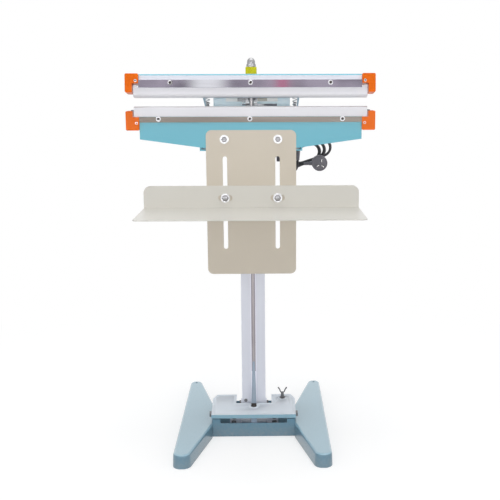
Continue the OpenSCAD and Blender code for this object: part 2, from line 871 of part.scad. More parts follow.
// Sheet pedal: plate, front lip, side skirts, lugs and the stop bolt's nut.
module pedal() {
    half = box_w / 2 + 2.3;
    notch = 43.7;
    skirt_x = box_w / 2 + 0.3;
    lug_x = 7;
    color([0.88, 0.89, 0.91])
    on_pedal() difference() {
        union() {
            difference() {
                translate([0, 0, pedal_top - thin]) linear_extrude(thin)
                    polygon([[-half, pedal_front], [half, pedal_front], [half, 60],
                        [half - 9.7, pedal_back], [9.7 - half, pedal_back], [-half, 60]]);
                translate([-notch, 36, 0]) cube([2 * notch, 60, 20]);
                translate([-7.5, 22, 0]) cube([15, 20, 20]);
                translate([0, 22, 0]) cylinder(r = 7.5, h = 20);
            }
            translate([-half, pedal_front, 0.3]) cube([2 * half, thin, pedal_top - 0.3]);
            both() along_x(skirt_x, thin)
                polygon([[pedal_front, pedal_top], [pedal_front, 0.3], [-12, -6], [-6, -7.5],
                    [6, -7.5], [14, -6], [60, 1], [60, pedal_top]]);
            both() along_x(lug_x, 2.5)
                polygon([[24, pedal_top - 1], [35.6, pedal_top - 1], [36.2, 2], [34, -3.5],
                    [29, -3.5], [25, 2]]);
            translate([stop_x, stop_y, pedal_top - thin - 5]) hex_bar(11, 5.5);
        }
        both() translate([skirt_x - past, 0, 0])
            to_right() cylinder(r = pivot_r + run, h = thin + 2 * past);
        translate([stop_x, stop_y, -past]) cylinder(r = 3 + run, h = 20);
        // Slots for the crank's pin, along the pedal.
        on_lug_slot();
    }
}

// Short slot along the pin's way in the pedal's own axes.
module on_lug_slot() {
    along_x(-12, 24) for (t = [0 : 0.25 : 1])
        translate(pin_in_pedal(t)) circle(r = pin_r + run, $fn = 32);
}

// The pin's place in the pedal's axes, t of the way down.
function pin_in_pedal(t) =
    let (a = pedal_slope - t * pedal_swing, y = pin_y - pivot_y,
        z = pin_z - t * rod_drop - pivot_z)
    [y * cos(a) + z * sin(a), z * cos(a) - y * sin(a)];

// Bolts through the skirts and the box's ears.
module pedal_pivot_bolts() {
    color([0.80, 0.81, 0.82])
    both() translate([box_w / 2 + 2.6, pivot_y, pivot_z]) {
        to_left() bolt(pivot_r, 9.6, 13, 5.2);
        translate([-2.6 - sheet, 0, 0]) to_left() hex_bar(13, 4);
    }
}

// Wing bolt that stops the pedal on the box's floor.
module stop_bolt() {
    color([0.75, 0.76, 0.78])
    on_pedal() translate([stop_x, stop_y, 0]) {
        translate([0, 0, stop_tip]) cylinder(r = 3, h = pedal_top + 4 - stop_tip);
        translate([0, 0, pedal_top + 0.3]) cylinder(r = 7, h = 1.5);
        translate([0, 0, pedal_top + 1.8]) cylinder(r = 4.5, h = 8);
        along_y(-1.5, 3) for (s = [-1, 1])
            polygon([[s * 3, pedal_top + 2], [s * 3.6, pedal_top + 9.6], [s * 7, pedal_top + 21],
                [s * 10, pedal_top + 24], [s * 12, pedal_top + 21], [s * 11, pedal_top + 13],
                [s * 7, pedal_top + 4]]);
    }
}

// ---- Shelf ----

// Folded sheet shelf with two sideways slots in its upright flange.
module shelf() {
    back = plate_y - thin;
    flange = 52.5;
    low = shelf_z - 24.5;
    color([0.90, 0.91, 0.93])
    difference() {
        union() {
            along_y(back, thin) difference() {
                round_rect(-shelf_w / 2, low - 20, shelf_w, flange + 20, 16);
                translate([-shelf_w, low - 40]) square([2 * shelf_w, 40]);
            }
            translate([0, 0, low]) linear_extrude(thin) difference() {
                round_rect(-shelf_w / 2, plate_y - shelf_d, shelf_w, shelf_d + 20, 12);
                translate([-shelf_w, back + thin]) square([2 * shelf_w, 60]);
            }
        }
        both() along_y(back - past, thin + 2 * past)
            round_rect(slot_pitch / 2 - 16.25, shelf_z - 6.5, 32.5, 13, 6.4);
    }
}

// Bolts, washers and nuts that clamp the shelf to the backing plate.
module shelf_bolts() {
    color([0.80, 0.78, 0.74])
    both() translate([slot_pitch / 2, plate_y, shelf_z]) {
        translate([0, -thin - 0.1, 0]) to_front() cylinder(r = 10.5, h = 1.5);
        translate([0, -thin - 1.6, 0]) to_back() bolt(slot_w / 2 - run, 14, 13, 6);
        translate([0, thin + 0.1, 0]) to_back() cylinder(r = 10.5, h = 1.5);
        translate([0, thin + 1.6, 0]) to_back() hex_bar(15, 7);
    }
}

// ---- Mains cord ----

// Strain relief under the frame's right side.
module strain_relief() {
    color([0.10, 0.10, 0.11])
    on_head() translate([108, tab_y, 0]) difference() {
        union() {
            translate([0, 0, -6]) cylinder(r = 6.5, h = 6);
            translate([0, 0, -27]) cylinder(r1 = 4.2, r2 = 6, h = 21.5);
            translate([0, 0, -1]) cylinder(r = 3.8, h = sheet + 4);
        }
        translate([0, 0, -30]) cylinder(r = cord_d / 2, h = 60);
    }
}

module cord_lead() {
    color([0.08, 0.08, 0.09])
    tube([[108, -10, 667], [108, -10, 661], [110, -4, 649], [115, 13, 642], [119, 42, 641],
        [122, 62, 644], [124, 76, 649], [126, 84, 653], [126, 91, 653]],
        cord_d / 2, cord_sides, [1, 0, 0]);
}

// The coiled rest of the cord, hung at the tie.
module hank_at() { translate([143, 91, 677]) rotate([0, -18, 0]) children(); }

module cord_hank() {
    color([0.08, 0.08, 0.09])
    hank_at() along_y(0, 41) difference() {
        round_rect(-50, -23, 100, 46, 22.9);
        round_rect(-37, -11, 74, 22, 10.9);
    }
}

// Cable tie that hangs the hank under the frame.
module cord_tie() {
    color([0.92, 0.92, 0.90])
    difference() {
        translate([103, 89.5, head_z - 48.6]) cube([5, 44, 48.6]);
        translate([102, 90.7, head_z - 47.4]) cube([7, 41.6, 46.2]);
    }
}

// Round plug with three flat pins.
module plug() {
    color([0.10, 0.10, 0.11])
    translate([165, 91, 652]) {
        to_front() cylinder(r = 19.5, h = 16);
        to_front() translate([0, 0, 16]) cylinder(r1 = 19.5, r2 = 14, h = 4);
    }
}

// ---- Output ----

base_box();
left_foot();
right_foot();
foot_bolts();
column();
column_brackets();
column_bolts();
column_screw();
column_top_plate();
top_plate_bolts();
head_frame();
hinge_bolts();
rod_bush();
lower_beam();
lower_end_caps();
lower_clamp_strip();
lower_strip_screws();
lower_cloth();
insulating_strip();
heating_element();
backing_plate();
plate_bolts();
rear_housing();
housing_wing_nuts();
transformer();
fuse_holder();
pilot_lamp();
timer_knob();
power_rocker();
micro_switch();
switch_bracket();
return_spring_left();
return_spring_right();
arm_left();
arm_right();
arm_cross_bar();
upper_beam();
upper_end_caps();
upper_clamp_strip();
upper_strip_screws();
silicone_pad();
upper_cloth();
pull_rod();
rod_crank();
crank_pin();
spring_rocker();
pressure_spring();
pressure_knob();
cap_nut();
pedal();
pedal_pivot_bolts();
stop_bolt();
shelf();
shelf_bolts();
strain_relief();
cord_lead();
cord_hank();
cord_tie();
plug();
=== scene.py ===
"""Pedal impulse heat sealer on a column stand, dressed on its CAD frame, in metres."""

import json
import math

import bmesh
import bpy
from mathutils import Matrix, Vector


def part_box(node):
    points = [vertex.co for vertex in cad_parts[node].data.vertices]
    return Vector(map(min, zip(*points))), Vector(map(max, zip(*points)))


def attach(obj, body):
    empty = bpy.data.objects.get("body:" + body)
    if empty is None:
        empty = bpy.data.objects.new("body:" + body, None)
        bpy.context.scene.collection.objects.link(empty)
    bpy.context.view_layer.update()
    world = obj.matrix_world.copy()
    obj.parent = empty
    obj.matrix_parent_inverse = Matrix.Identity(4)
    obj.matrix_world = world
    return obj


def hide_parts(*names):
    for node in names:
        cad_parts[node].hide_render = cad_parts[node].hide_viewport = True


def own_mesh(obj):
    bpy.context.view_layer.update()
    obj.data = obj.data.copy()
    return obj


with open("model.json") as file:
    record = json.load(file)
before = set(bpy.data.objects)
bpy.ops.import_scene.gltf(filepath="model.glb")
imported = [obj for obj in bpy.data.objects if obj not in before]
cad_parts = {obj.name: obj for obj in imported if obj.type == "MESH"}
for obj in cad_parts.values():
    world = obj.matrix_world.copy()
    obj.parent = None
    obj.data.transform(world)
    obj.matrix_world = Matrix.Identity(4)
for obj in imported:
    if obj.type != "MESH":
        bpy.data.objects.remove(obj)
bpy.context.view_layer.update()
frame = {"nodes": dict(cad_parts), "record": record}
nodes = frame["nodes"]
record = frame["record"]
mm = 0.001

# ---------------------------------------------------------------- camera, floor and light
# A stills camera on a tripod at the height of the jaws looks slightly down at the
# machine, which stands on a white sweep. A large softbox hangs over it, with a weak one
# at each side and a strip light in front.
CAMERA_AT = (0.033, -2.061, 0.837)
PITCH, YAW, ROLL = math.radians(10.64), math.radians(-1.17), math.radians(-0.12)


def link(item):
    bpy.context.scene.collection.objects.link(item)


camera = bpy.data.objects.new("camera", bpy.data.cameras.new("camera"))
link(camera)
bpy.context.scene.camera = camera
camera.data.sensor_width = 36.0
camera.data.lens = 62.64
camera.data.shift_x = -0.0675
camera.matrix_world = (
    Matrix.Translation(CAMERA_AT)
    @ Matrix.Rotation(YAW, 4, "Z")
    @ Matrix.Rotation(math.pi / 2 - PITCH, 4, "X")
    @ Matrix.Rotation(ROLL, 4, "Z")
)
bpy.context.scene.view_settings.view_transform = "Standard"


def only(*objects):
    """Selects these objects and nothing else, the first one active."""
    bpy.ops.object.select_all(action="DESELECT")
    for item in objects:
        item.select_set(True)
    bpy.context.view_layer.objects.active = objects[0]


def linear(red, green, blue):
    """A colour written as a screen shows it, 0 to 255, as a shader wants it."""
    steps = [c / 255 for c in (red, green, blue)]
    return (*(c / 12.92 if c <= 0.04045 else ((c + 0.055) / 1.055) ** 2.4 for c in steps), 1.0)


def softbox(name, place, turn, size, power):
    lamp = bpy.data.lights.new(name, "AREA")
    lamp.shape = "RECTANGLE"
    lamp.size, lamp.size_y = size
    lamp.energy = power
    holder = bpy.data.objects.new(name, lamp)
    holder.location = place
    holder.rotation_euler = [math.radians(angle) for angle in turn]
    link(holder)


softbox("softbox_over", (0.0, -0.3, 4.2), (0, 0, 0), (3.6, 3.0), 84)
softbox("softbox_left", (-2.2, -2.0, 1.7), (68, 0, -46), (1.4, 1.8), 5)
softbox("softbox_right", (2.4, -1.6, 1.5), (72, 0, 56), (1.2, 1.8), 3)
softbox("front_strip", (0.1, -2.5, 0.86), (90, 0, 0), (3.0, 0.3), 19)


def bare_tree(block):
    """The node tree of a new world or material, emptied."""
    block.use_nodes = True
    block.node_tree.nodes.clear()
    return block.node_tree


def set_inputs(node, **inputs):
    """Sets a node's inputs by name, an underscore standing for a space."""
    for name, value in inputs.items():
        node.inputs[name.replace("_", " ")].default_value = value


def add(tree, kind, operation=None, data_type=None, **inputs):
    """A new shader node with its inputs set."""
    node = tree.nodes.new("ShaderNode" + kind)
    if operation:
        node.operation = operation
    if data_type:
        node.data_type = data_type
    set_inputs(node, **inputs)
    return node


def wire(tree, *joints):
    """Joins nodes, each joint given as (from, its output, to, its input)."""
    for source, out, target, into in joints:
        tree.links.new(source.outputs[out], target.inputs[into])


def noise(tree, scale, detail, stretch=(1, 1, 1)):
    """Noise over the object's own coordinates."""
    where = add(tree, "TexCoord")
    place = add(tree, "Mapping", Scale=stretch)
    cloud = add(tree, "TexNoise", Scale=scale, Detail=detail)
    wire(tree, (where, "Object", place, "Vector"), (place, "Vector", cloud, "Vector"))
    return cloud


def card(name, finish, size, place, turn=(0, 0, 0), width=1):
    """A flat card beside or under the machine, which isn't part of it."""
    bpy.ops.object.select_all(action="DESELECT")
    bpy.ops.mesh.primitive_plane_add(size=size, location=place, rotation=turn)
    sheet = bpy.context.active_object
    sheet.name = name
    sheet.scale = (width, 1, 1)
    bpy.ops.object.transform_apply(location=True, rotation=True, scale=True)
    sheet.data.materials.append(finish)
    return sheet


# The room is plain white to the camera and in reflections, and dimmer as a light.
world = bpy.data.worlds.new("white_room")
bpy.context.scene.world = world
room = bare_tree(world)
room_out = add(room, "OutputWorld")
room_mix = add(room, "MixShader")
room_fill = add(room, "Background", Color=(0.96, 0.98, 1.0, 1), Strength=0.47)
room_seen = add(room, "Background", Color=(1, 1, 1, 1), Strength=1.0)
room_path = add(room, "LightPath")
room_any, room_any_more = (add(room, "Math", operation="MAXIMUM") for _ in range(2))
wire(room,
     (room_path, "Is Camera Ray", room_any, 0), (room_path, "Is Glossy Ray", room_any, 1),
     (room_any, 0, room_any_more, 0), (room_path, "Is Transmission Ray", room_any_more, 1),
     (room_any_more, 0, room_mix, 0), (room_fill, 0, room_mix, 1), (room_seen, 0, room_mix, 2),
     (room_mix, 0, room_out, 0))

# The sweep gives back light as a pale floor does, and is seen as white with the machine's
# shadow on it. Farther out it turns into the white behind.
sweep_paint = bpy.data.materials.new("white_sweep")
sweep = bare_tree(sweep_paint)
sweep_out = add(sweep, "OutputMaterial")
sweep_mix = add(sweep, "MixShader")
sweep_lit = add(sweep, "BsdfDiffuse", Color=(0.66, 0.66, 0.66, 1))
sweep_seen = add(sweep, "AddShader")
sweep_glow = add(sweep, "Emission", Strength=0.65)
sweep_dim = add(sweep, "BsdfDiffuse", Color=(0.42, 0.42, 0.42, 1))
sweep_path = add(sweep, "LightPath")
sweep_any = add(sweep, "Math", operation="MAXIMUM")
sweep_where = add(sweep, "TexCoord")
sweep_far = add(sweep, "VectorMath", operation="LENGTH")
sweep_span = add(sweep, "MapRange", From_Min=0.45, From_Max=1.3)
sweep_white = add(sweep, "Emission")
sweep_fade = add(sweep, "MixShader")
wire(sweep,
     (sweep_path, "Is Camera Ray", sweep_any, 0), (sweep_path, "Is Glossy Ray", sweep_any, 1),
     (sweep_any, 0, sweep_mix, 0), (sweep_lit, 0, sweep_mix, 1),
     (sweep_dim, 0, sweep_seen, 0), (sweep_glow, 0, sweep_seen, 1),
     (sweep_where, "Object", sweep_far, 0), (sweep_far, "Value", sweep_span, "Value"),
     (sweep_span, "Result", sweep_fade, 0), (sweep_seen, 0, sweep_fade, 1),
     (sweep_white, 0, sweep_fade, 2), (sweep_fade, 0, sweep_mix, 2),
     (sweep_mix, 0, sweep_out, "Surface"))
card("floor", sweep_paint, 14, (0, 1.5, 0))

# The dim side of the room, which only polished metal shows, hangs behind the camera and
# higher than it.
dim_paint = bpy.data.materials.new("dim_room")
dim = bare_tree(dim_paint)
dim_out = add(dim, "OutputMaterial")
dim_glow = add(dim, "Emission")
dim_where = add(dim, "TexCoord")
dim_cloud = noise(dim, 6.0, 6)
dim_ramp = add(dim, "ValToRGB")
for stop, place, colour in zip(dim_ramp.color_ramp.elements, (0.38, 0.62),
                               ((0.13, 0.115, 0.155, 1), (0.46, 0.42, 0.50, 1))):
    stop.position = place
    stop.color = colour
wire(dim, (dim_cloud, "Fac", dim_ramp, "Fac"))
behind, behind_out = dim_ramp, "Color"
# A lamp and a rose-coloured screen stand before it: (middle, half width, colour).
for middle, half, colour in ((-0.30, 0.14, (0.95, 0.97, 1.0, 1)),
                             (0.13, 0.045, (0.62, 0.20, 0.33, 1))):
    split = add(dim, "SeparateXYZ")
    off = add(dim, "Math", operation="SUBTRACT")
    off.inputs[1].default_value = middle
    size = add(dim, "Math", operation="ABSOLUTE")
    edge = add(dim, "MapRange", From_Min=half, From_Max=half * 0.35)
    over = add(dim, "Mix", data_type="RGBA", B=colour)
    wire(dim, (dim_where, "Object", split, 0), (split, "X", off, 0), (off, 0, size, 0),
         (size, 0, edge, "Value"), (edge, "Result", over, "Factor"),
         (behind, behind_out, over, "A"))
    behind, behind_out = over, "Result"
wire(dim, (behind, behind_out, dim_glow, "Color"), (dim_glow, 0, dim_out, "Surface"))
room_side = card("dim_room_side", dim_paint, 1, (0, -3.1, 1.5), (math.pi / 2, 0, 0), width=5)
for seen_by in ("camera", "diffuse", "transmission", "shadow", "volume_scatter"):
    setattr(room_side, "visible_" + seen_by, False)

# ---------------------------------------------------------------- mains cord
# Three-core 6 mm cord with a black jacket. It leaves the strain relief under the frame,
# runs back and is wound into a hank of six turns, and its last run ends in the plug.
CORD_D = 6 * mm
HANK_TILT = math.radians(18)
HANK_MIDDLE = (143, 677)
HANK_BACK = 129
HANK_PITCH = 6.15
HANK_START, HANK_SHORT = 0.06, 0.20
POINTS_A_TURN = 44
CROSSOVER = 0.6
# Each turn: its left and right reach from the middle and its radius. The winding begins
# and ends a little short of whole turns, and crosses to the next turn near each one's end.
HANK_TURNS = [(-48.0, 55.0, 21.0), (-47.0, 37.0, 20.0), (-48.0, 53.0, 20.8),
              (-47.0, 23.0, 20.0), (-47.5, 38.0, 20.6), (-47.0, 25.0, 20.0)]
LEAD = [
    (108, -10, 667), (108, -10, 661), (107.7, -8.6, 654.5), (106.8, -4.4, 648.4),
    (105.3, 2.8, 643.6), (103.5, 12.5, 640.8), (101.8, 26, 639.6), (100.8, 42, 639.0),
    (100.6, 58, 638.8), (101.6, 74, 638.8), (104.4, 90, 639.2), (109.6, 103.5, 640.4),
    (117, 114.5, 642.6), (126, 122.6, 645.4), (135, 127.6, 648.6), (143.5, 129.6, 651.8),
]
TAIL = [(108.4, 92.6, 650.8), (114.5, 90.6, 648.2), (122.0, 87.4, 648.0),
        (131.0, 85.0, 649.2), (139.0, 83.2, 650.4), (146.5, 82.4, 651.2)]


def on_turn(part, left, right, radius):
    """A point of one long turn, a share of the way round it, from the middle of its foot."""
    half = (right - left) / 2 - radius
    arc = math.pi * radius
    run = part * (4 * half + 2 * arc)
    if run < half:
        u, v = run, -radius
    elif run < half + arc:
        angle = (run - half) / radius
        u, v = half + radius * math.sin(angle), -radius * math.cos(angle)
    elif run < 3 * half + arc:
        u, v = 2 * half + arc - run, radius
    elif run < 3 * half + 2 * arc:
        angle = (run - 3 * half - arc) / radius
        u, v = -half - radius * math.sin(angle), radius * math.cos(angle)
    else:
        u, v = run - 4 * half - 2 * arc, -radius
    return u + (left + right) / 2, v


def hank_route():
    """Points of the turns, from behind the hank to its front, in millimetres."""
    points = []
    cos_t, sin_t = math.cos(HANK_TILT), math.sin(HANK_TILT)
    along = HANK_START
    while along <= len(HANK_TURNS) - HANK_SHORT:
        turn = int(along)
        part = along - turn
        here = HANK_TURNS[turn]
        after = HANK_TURNS[min(turn + 1, len(HANK_TURNS) - 1)]
        ease = max(0.0, (part - CROSSOVER) / (1 - CROSSOVER))
        ease = ease * ease * (3 - 2 * ease)
        u, v = on_turn(part, *(a + (b - a) * ease for a, b in zip(here, after)))
        points.append((HANK_MIDDLE[0] + u * cos_t - v * sin_t, HANK_BACK - HANK_PITCH * along,
                       HANK_MIDDLE[1] + u * sin_t + v * cos_t))
        along += 1 / POINTS_A_TURN
    return points


def rounded(points, passes):
    """The route with its corners eased, its ends kept."""
    for _ in range(passes):
        points = [points[0]] + [
            tuple((a + 2 * b + c) / 4 for a, b, c in zip(p, q, r))
            for p, q, r in zip(points, points[1:], points[2:])
        ] + [points[-1]]
    return points


def tube(name, diameter, kind, count):
    """A curve of one round line of count points, not yet placed: (curve, line)."""
    curve = bpy.data.curves.new(name, "CURVE")
    curve.dimensions = "3D"
    curve.bevel_depth = diameter / 2
    curve.bevel_resolution = 4
    curve.use_fill_caps = True
    line = curve.splines.new(kind)
    (line.points if kind == "POLY" else line.bezier_points).add(count - 1)
    return curve, line


cord_route = [Vector(p) * mm for p in rounded(LEAD + hank_route() + TAIL, 2)]
cord_curve, cord_line = tube("mains_cord", CORD_D, "POLY", len(cord_route))
for knot, place in zip(cord_line.points, cord_route):
    knot.co = (*place, 1)
cord = bpy.data.objects.new("mains_cord", cord_curve)
link(cord)


def surface_of(material):
    return material.node_tree.nodes["Principled BSDF"]


def shader(name, colour, roughness, metallic=0.0, **inputs):
    """A material with one principled shader."""
    material = bpy.data.materials.new(name)
    material.use_nodes = True
    set_inputs(surface_of(material), Base_Color=colour, Roughness=roughness,
               Metallic=metallic, **inputs)
    return material


def mottle(material, colour, spread, scale, stretch=(1, 1, 1)):
    """Slow colour variation over a surface, spread being its share of the colour."""
    tree = material.node_tree
    cloud = noise(tree, scale, 4, stretch)
    ramp = add(tree, "ValToRGB")
    for stop, place, side in zip(ramp.color_ramp.elements, (0.3, 0.7), (1 - spread, 1 + spread)):
        stop.color = (*(min(1.0, c * side) for c in colour[:3]), 1)
        stop.position = place
    wire(tree, (cloud, "Fac", ramp, "Fac"), (ramp, "Color", surface_of(material), "Base Color"))
    return ramp


def grain(material, scale, height, stretch=(1, 1, 1), detail=3, rough=None):
    """Fine relief of a given height in mm, and roughness that varies with it."""
    tree = material.node_tree
    surface = surface_of(material)
    fine = noise(tree, scale, detail, stretch)
    bump = add(tree, "Bump", Strength=0.6, Distance=height * mm)
    wire(tree, (fine, "Fac", bump, "Height"), (bump, "Normal", surface, "Normal"))
    if rough:
        span = add(tree, "MapRange", To_Min=rough[0], To_Max=rough[1])
        wire(tree, (fine, "Fac", span, "Value"), (span, "Result", surface, "Roughness"))


def stuff(name, colour, roughness, tone, relief, metallic=0.0, rough=None, **inputs):
    """A material with tone changes, as mottle takes them, and relief, as grain does."""
    material = shader(name, colour, roughness, metallic, **inputs)
    mottle(material, colour, *tone)
    grain(material, *relief, rough=rough)
    return material


jacket = stuff("cord_jacket", linear(44, 43, 48), 0.42, (0.12, 40), (900, 0.08),
               rough=(0.36, 0.5))
cord_curve.materials.append(jacket)

body_of = {node: body for body, held in record["behaviour"]["bodies"].items() for node in held}


def seat(piece, node, finish):
    """A new piece takes a node's place, on its body, with the given finish as its only material.
    """
    piece.data.materials.clear()
    piece.data.materials.append(finish)
    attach(piece, body_of[node])
    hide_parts(node)


def carry(piece, body, finish):
    """A small piece that the CAD leaves out rides on a body."""
    piece.data.materials.append(finish)
    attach(piece, body)


def smooth(piece, angle=35):
    """Round faces shaded round and flat ones flat."""
    only(piece)
    bpy.ops.object.shade_smooth_by_angle(angle=math.radians(angle))
    even = piece.modifiers.new("even", "WEIGHTED_NORMAL")
    even.keep_sharp = True
    bpy.ops.object.modifier_apply(modifier=even.name)


def ease_edges(piece, width, angle=40):
    """Breaks the edges sharper than angle degrees by width mm."""
    ease = piece.modifiers.new("edges", "BEVEL")
    ease.width = width * mm
    ease.segments = 2
    ease.limit_method = "ANGLE"
    ease.angle_limit = math.radians(angle)
    only(piece)
    bpy.ops.object.modifier_apply(modifier=ease.name)
    smooth(piece)


def edit(piece, action="DESELECT"):
    """Starts shaping a piece, with nothing or everything picked."""
    only(piece)
    bpy.ops.object.mode_set(mode="EDIT")
    bpy.ops.mesh.select_mode(type="FACE")
    bpy.ops.mesh.select_all(action=action)


def done():
    bpy.ops.mesh.select_all(action="DESELECT")
    bpy.ops.object.mode_set(mode="OBJECT")


def inset(piece, wanted, *steps, each=False):
    """Insets the faces that wanted(middle_mm, normal, face) says yes to, by (thickness, depth)."""
    edit(piece)
    form = bmesh.from_edit_mesh(piece.data)
    for face in form.faces:
        face.select_set(bool(wanted(face.calc_center_median() / mm, face.normal, face)))
    form.select_flush_mode()
    bmesh.update_edit_mesh(piece.data)
    for thickness, depth in steps:
        bpy.ops.mesh.inset(thickness=thickness * mm, depth=depth * mm, use_individual=each)
    done()


def cut_across(piece, axis, *places):
    """Cuts a piece all round at places along an axis, in mm."""
    axis = Vector(axis)
    edit(piece)
    for place in places:
        bpy.ops.mesh.select_all(action="SELECT")
        bpy.ops.mesh.bisect(plane_co=axis * place * mm, plane_no=axis)
    done()


def facing_front(middle, normal, face):
    return normal.y < -0.9


def facing_up(middle, normal, face):
    return normal.z > 0.9


def dress(node, finish, edge=0.35):
    """The node's own form with its triangles joined and its edges broken by edge mm."""
    piece = bpy.data.objects.new(node + "_made", nodes[node].data.copy())
    link(piece)
    edit(piece, "SELECT")
    bpy.ops.mesh.remove_doubles(threshold=0.01 * mm)
    bpy.ops.mesh.dissolve_limited(angle_limit=math.radians(0.4))
    done()
    ease_edges(piece, edge, 30)
    seat(piece, node, finish)
    return piece


def finish_some(piece, finish, wanted):
    """Gives another finish to the faces that wanted(middle_mm, normal) says yes to."""
    piece.data.materials.append(finish)
    for face in piece.data.polygons:
        if wanted(face.center / mm, face.normal):
            face.material_index = len(piece.data.materials) - 1


def bar(name, radius, start, end, sides=32, top=None):
    """A round bar, or a cone of another radius at its top, from start to end in mm."""
    start, end = Vector(start) * mm, Vector(end) * mm
    bpy.ops.object.select_all(action="DESELECT")
    bpy.ops.mesh.primitive_cone_add(
        vertices=sides, radius1=radius * mm, radius2=(radius if top is None else top) * mm,
        depth=(end - start).length,
    )
    piece = bpy.context.active_object
    piece.name = name
    turn = (end - start).to_track_quat("Z", "Y").to_matrix().to_4x4()
    piece.matrix_world = Matrix.Translation((start + end) / 2) @ turn
    bpy.ops.object.transform_apply(location=True, rotation=True, scale=True)
    return piece


def block(name, low, high):
    """A box between two corners, in mm, its place in its mesh."""
    low, high = Vector(low) * mm, Vector(high) * mm
    bpy.ops.object.select_all(action="DESELECT")
    bpy.ops.mesh.primitive_cube_add(size=1, location=(low + high) / 2)
    piece = bpy.context.active_object
    piece.name = name
    piece.scale = high - low
    bpy.ops.object.transform_apply(location=True, rotation=True, scale=True)
    return piece


# Moulded plug: a round disc with a ribbed rim, three flat pins and a short cord collar.
PLUG_AT = Vector((165, 91, 652)) * mm
RIM_STEP, RIB_EVERY = 5, 3
black_plastic = stuff("black_plastic", linear(112, 109, 116), 0.45, (0.10, 25), (700, 0.06),
                      rough=(0.4, 0.55))


def rib(middle, normal, face):
    """Every third facet of the plug's rim."""
    facet = round(math.degrees(math.atan2(normal.z, normal.x)) / RIM_STEP - 0.5)
    return abs(normal.y) < 0.1 and middle.y > 73 and facet % RIB_EVERY == 0


plug = bar("plug_body", 19.2, (165, 90.9, 652), (165, 72.3, 652), sides=360 // RIM_STEP)
inset(plug, facing_front, (1.8, 0), (1.2, -0.9))
inset(plug, rib, (0.25, -0.5), each=True)
ease_edges(plug, 0.4)
seat(plug, "plug", black_plastic)

collar = bar("plug_collar", 3.6, (126.5, 84.0, 650.2), (148.5, 81.6, 651.6), top=5.4)
cut_across(collar, (1, 0, 0), 131, 133.5, 136, 138.5, 141)
inset(collar, lambda middle, normal, face: len(face.verts) == 4 and (
    131 < middle.x < 133.5 or 136 < middle.x < 138.5), (0.3, -0.6))
smooth(collar, 50)
carry(collar, "stand", black_plastic)

pin_metal = shader("plug_pin_metal", (0.86, 0.85, 0.82, 1), 0.25, 1.0)
grain(pin_metal, 500, 0.02, rough=(0.2, 0.34))
for number, (x, z, turn) in enumerate(((4.2, 6.6, 90), (-4.6, -5.4, -30), (7.0, -6.6, 30)), 1):
    pin = block(f"plug_pin_{number}", (161.85, 59, 651.2), (168.15, 72.4, 652.8))
    edit(pin, "SELECT")
    bpy.ops.mesh.bevel(offset=0.5 * mm, segments=2)
    done()
    pin.data.transform(
        Matrix.Translation(PLUG_AT + Vector((x, 0, z)) * mm)
        @ Matrix.Rotation(math.radians(turn), 4, "Y")
        @ Matrix.Translation(-PLUG_AT)
    )
    smooth(pin, 50)
    carry(pin, "stand", pin_metal)

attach(cord, "stand")
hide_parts("cord_lead", "cord_hank")

# Nylon cable tie round the hank, through two slots of the frame's floor, and the
# strain relief: a tapered moulding with a collar under the frame.
dress("cord_tie", stuff("nylon_tie", linear(40, 40, 42), 0.4, (0.15, 60),
                        (1200, 0.04, (1, 0.2, 0.2))), 0.3)
dress("strain_relief", black_plastic, 0.3)

# ---------------------------------------------------------------- base box and feet
# The feet are hollow steel pressings bolted to a folded steel box. All are sprayed in one
# glossy pale blue enamel with a slight orange peel, a little dusty near the floor. The
# feet's upward faces are painted lighter, as painted light from above.
DUST_TOP = 50 * mm


def enamel(name, colour, spread=0.035, roughness=(0.24, 0.34), dust=None, coat=0.25):
    """Sprayed enamel: slow tone changes, orange peel, and dust of a colour low down."""
    coated = shader(name, colour, roughness[0], Coat_Weight=coat, Coat_Roughness=0.14)
    ramp = mottle(coated, colour, spread, 7)
    grain(coated, 650, 0.05, detail=2, rough=roughness)
    if dust:
        tree = coated.node_tree
        where = add(tree, "TexCoord")
        split = add(tree, "SeparateXYZ")
        span = add(tree, "MapRange", From_Min=DUST_TOP, From_Max=0.0)
        specks = noise(tree, 160, 5)
        amount = add(tree, "Math", operation="MULTIPLY")
        mix = add(tree, "Mix", data_type="RGBA", B=dust)
        wire(tree, (where, "Object", split, 0), (split, "Z", span, "Value"),
             (span, "Result", amount, 0), (specks, "Fac", amount, 1),
             (amount, 0, mix, "Factor"), (ramp, "Color", mix, "A"),
             (mix, "Result", surface_of(coated), "Base Color"))
    return coated


blue = enamel("pale_blue_enamel", linear(92, 140, 164), coat=0.3, dust=linear(150, 160, 164))
# A lighter copy of the same enamel: painted light on the feet's upward faces.
lit_top_coat = enamel("blue_enamel_painted_top_light", linear(152, 188, 204), coat=1.0)
dress("base_box", blue, 0.8)
for node in ("left_foot", "right_foot"):
    foot = dress(node, blue, 0.8)
    finish_some(foot, lit_top_coat, lambda middle, normal: normal.z > 0.6 and middle.z > 15)


# Zinc-plated bolts: a dull silver with a faint brushed grain. Most are given a darker zinc,
# partly darker plating and partly painted shade for bolts that sit in shadow.
def plated(name, level, roughness):
    return stuff(name, (level, level, level * 1.03, 1), roughness[0], (0.12, 90), (900, 0.03),
                 metallic=1.0, rough=roughness)


zinc = plated("zinc_plate", 0.56, (0.24, 0.42))
dark_zinc_and_shade = plated("dark_zinc_and_painted_shade", 0.20, (0.28, 0.46))
for node in ("foot_bolts", "pedal_pivot_bolts", "column_bolts", "column_screw",
             "top_plate_bolts", "hinge_bolts", "housing_wing_nuts", "crank_pin"):
    dress(node, dark_zinc_and_shade, 0.3)

# ---------------------------------------------------------------- column
# Cold-rolled lipped channel in a cool white powder coat, bolted through two gusseted
# angle brackets at its foot and to a top plate under the head.
COLUMN_INSIDE = Vector((0, 22, 0))
column_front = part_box("column")[0].y / mm
white = enamel("cool_white_coat", linear(228, 230, 240), 0.02, (0.3, 0.4))
